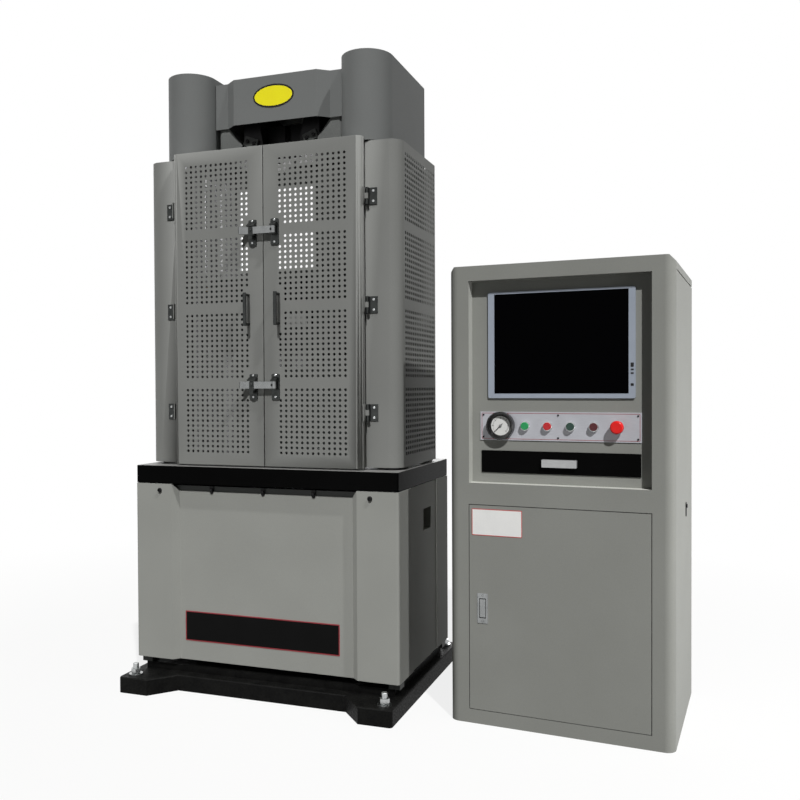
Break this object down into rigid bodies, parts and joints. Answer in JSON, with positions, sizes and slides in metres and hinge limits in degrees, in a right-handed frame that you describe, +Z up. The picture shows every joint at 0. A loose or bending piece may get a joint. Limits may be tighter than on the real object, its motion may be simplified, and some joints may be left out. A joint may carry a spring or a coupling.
{
  "type": "universal testing machine",
  "caption": "Floor-standing hydraulic load frame with a raised worktable, wedge-grip crossheads and a perforated door enclosure, beside an upright control console.",
  "frame": {"origin": "centre of the load frame's base plate on the floor", "axes": "+Z up; the doors and the worktable's long edge face -Y; +X to the right as seen from the front, towards the console"},
  "size_m": [1.9023, 0.77, 2.196],
  "materials": {
    "black_paint": "semi-gloss black enamel",
    "grey_paint": "fine-textured grey powder coat",
    "casting": "painted casting",
    "steel": "machined steel",
    "jaw_steel": "blackened hard steel",
    "plated_steel": "nickel plated",
    "hinge_steel": "dark zinc",
    "bronze": "machined",
    "anodised": "anodised",
    "silver_plastic": "moulded",
    "black_plastic": "moulded",
    "drawer_paint": "black powder coat",
    "screen": "gloss",
    "needle_black": "painted black",
    "green": "moulded",
    "red": "moulded",
    "dark_green": "moulded",
    "dark_red": "moulded",
    "tank_paint": "grey enamel"
  },
  "bodies": {
    "base": {"base_plate": "black_paint", "anchor_studs": "steel", "housing_front": "grey_paint", "housing_rear": "grey_paint", "housing_sides": "grey_paint", "housing_frame": "black_paint", "cylinder": "casting", "screw_drives": "casting", "console_front": "grey_paint", "console_sides": "grey_paint", "console_decks": "grey_paint", "console_back": "grey_paint", "recess_pan": "grey_paint", "monitor": "silver_plastic", "monitor_screen": "screen", "control_strip": "anodised", "gauge_case": "black_plastic", "button_bezels": "plated_steel", "drawer_rails": "grey_paint", "door_pivots": "grey_paint", "oil_tank": "tank_paint", "pump_motor": "tank_paint"},
    "screw_left": {"lead_screw_left": "steel"},
    "screw_right": {"lead_screw_right": "steel"},
    "frame": {"piston": "steel", "worktable": "black_paint", "lower_platen": "steel", "columns": "steel", "upper_crosshead": "casting", "upper_liners": "steel", "column_covers": "grey_paint", "crosshead_hood": "grey_paint", "side_panel_left": "grey_paint", "side_panel_right": "grey_paint", "hinge_leaves": "hinge_steel"},
    "upper_jaw_left": {"upper_jaw_left": "jaw_steel"},
    "upper_jaw_right": {"upper_jaw_right": "jaw_steel"},
    "left_door": {"door_left": "grey_paint", "door_fittings_left": "plated_steel"},
    "right_door": {"door_right": "grey_paint", "door_fittings_right": "plated_steel"},
    "latch_upper": {"latch_bar_upper": "plated_steel"},
    "latch_lower": {"latch_bar_lower": "plated_steel"},
    "crosshead": {"lower_crosshead": "casting", "lower_liners": "steel", "lead_nuts": "bronze", "upper_platen": "steel"},
    "lower_jaw_left": {"lower_jaw_left": "jaw_steel"},
    "lower_jaw_right": {"lower_jaw_right": "jaw_steel"},
    "needle": {"gauge_needle": "needle_black"},
    "start": {"start_button": "green"},
    "stop": {"stop_button": "red"},
    "load": {"load_button": "dark_green"},
    "unload": {"unload_button": "dark_red"},
    "estop": {"estop_button": "red"},
    "drawer": {"keyboard_drawer": "drawer_paint", "drawer_pull": "anodised"},
    "cabinet_door": {"console_door": "grey_paint", "latch_plate": "plated_steel"},
    "paddle": {"latch_paddle": "plated_steel"}
  },
  "joints": [
    {"name": "frame_lift", "type": "slide", "parent": "base", "child": "frame", "axis": [0, 0, 1], "range_m": [0, 0.15]},
    {"name": "crosshead_travel", "type": "slide", "parent": "base", "child": "crosshead", "axis": [0, 0, 1], "range_m": [-0.12, 0.15]},
    {"name": "screw_left_turn", "type": "hinge", "parent": "base", "child": "screw_left", "pos_m": [-0.344, 0, 0.2], "axis": [0, 0, 1], "range_deg": [-3601, 4501]},
    {"name": "screw_right_turn", "type": "hinge", "parent": "base", "child": "screw_right", "pos_m": [0.344, 0, 0.2], "axis": [0, 0, 1], "range_deg": [-3601, 4501]},
    {"name": "upper_jaw_right_grip", "type": "slide", "parent": "frame", "child": "upper_jaw_right", "axis": [-0.2079, 0, -0.9781], "range_m": [0, 0.05]},
    {"name": "upper_jaw_left_grip", "type": "slide", "parent": "frame", "child": "upper_jaw_left", "axis": [0.2079, 0, -0.9781], "range_m": [0, 0.05]},
    {"name": "lower_jaw_right_grip", "type": "slide", "parent": "crosshead", "child": "lower_jaw_right", "axis": [-0.2079, 0, 0.9781], "range_m": [0, 0.05]},
    {"name": "lower_jaw_left_grip", "type": "slide", "parent": "crosshead", "child": "lower_jaw_left", "axis": [0.2079, 0, 0.9781], "range_m": [0, 0.05]},
    {"name": "right_door_swing", "type": "hinge", "parent": "frame", "child": "right_door", "pos_m": [0.373, -0.226, 1.344], "axis": [0, 0, 1], "range_deg": [0, 105]},
    {"name": "left_door_swing", "type": "hinge", "parent": "frame", "child": "left_door", "pos_m": [-0.373, -0.226, 1.344], "axis": [0, 0, 1], "range_deg": [-105, 0]},
    {"name": "latch_upper_turn", "type": "hinge", "parent": "right_door", "child": "latch_upper", "pos_m": [0.046, -0.266, 1.609], "axis": [0, 0, 1], "range_deg": [0, 150]},
    {"name": "latch_lower_turn", "type": "hinge", "parent": "right_door", "child": "latch_lower", "pos_m": [0.046, -0.266, 1.078], "axis": [0, 0, 1], "range_deg": [0, 150]},
    {"name": "needle_turn", "type": "hinge", "parent": "base", "child": "needle", "pos_m": [0.82624, -0.23993, 0.946], "axis": [0.0698, 0.9976, 0], "range_deg": [0, 270], "stiffness_Nm_per_rad": 0.02},
    {"name": "start_press", "type": "slide", "parent": "base", "child": "start", "axis": [0.0698, 0.9976, 0], "range_m": [0, 0.004], "stiffness_N_per_m": 500},
    {"name": "stop_press", "type": "slide", "parent": "base", "child": "stop", "axis": [0.0698, 0.9976, 0], "range_m": [0, 0.004], "stiffness_N_per_m": 500},
    {"name": "load_press", "type": "slide", "parent": "base", "child": "load", "axis": [0.0698, 0.9976, 0], "range_m": [0, 0.004], "stiffness_N_per_m": 500},
    {"name": "unload_press", "type": "slide", "parent": "base", "child": "unload", "axis": [0.0698, 0.9976, 0], "range_m": [0, 0.004], "stiffness_N_per_m": 500},
    {"name": "estop_press", "type": "slide", "parent": "base", "child": "estop", "axis": [0.0698, 0.9976, 0], "range_m": [0, 0.005]},
    {"name": "drawer_slide", "type": "slide", "parent": "base", "child": "drawer", "axis": [-0.0698, -0.9976, 0], "range_m": [0, 0.3]},
    {"name": "cabinet_door_swing", "type": "hinge", "parent": "base", "child": "cabinet_door", "pos_m": [1.27905, -0.28713, 0.37], "axis": [0, 0, 1], "range_deg": [0, 105]},
    {"name": "paddle_pull", "type": "hinge", "parent": "cabinet_door", "child": "paddle", "pos_m": [0.77301, -0.25575, 0.392], "axis": [-0.9976, 0.0698, 0], "range_deg": [0, 30], "stiffness_Nm_per_rad": 0.5}
  ],
  "couplings": [
    {"joint": "screw_left_turn", "follows": "crosshead_travel", "rad_per_m": 523.6},
    {"joint": "screw_right_turn", "follows": "crosshead_travel", "rad_per_m": 523.6},
    {"joint": "upper_jaw_left_grip", "follows": "upper_jaw_right_grip", "ratio": 1},
    {"joint": "lower_jaw_left_grip", "follows": "lower_jaw_right_grip", "ratio": 1},
    {"joint": "left_door_swing", "follows": "right_door_swing", "ratio": -1}
  ]
}
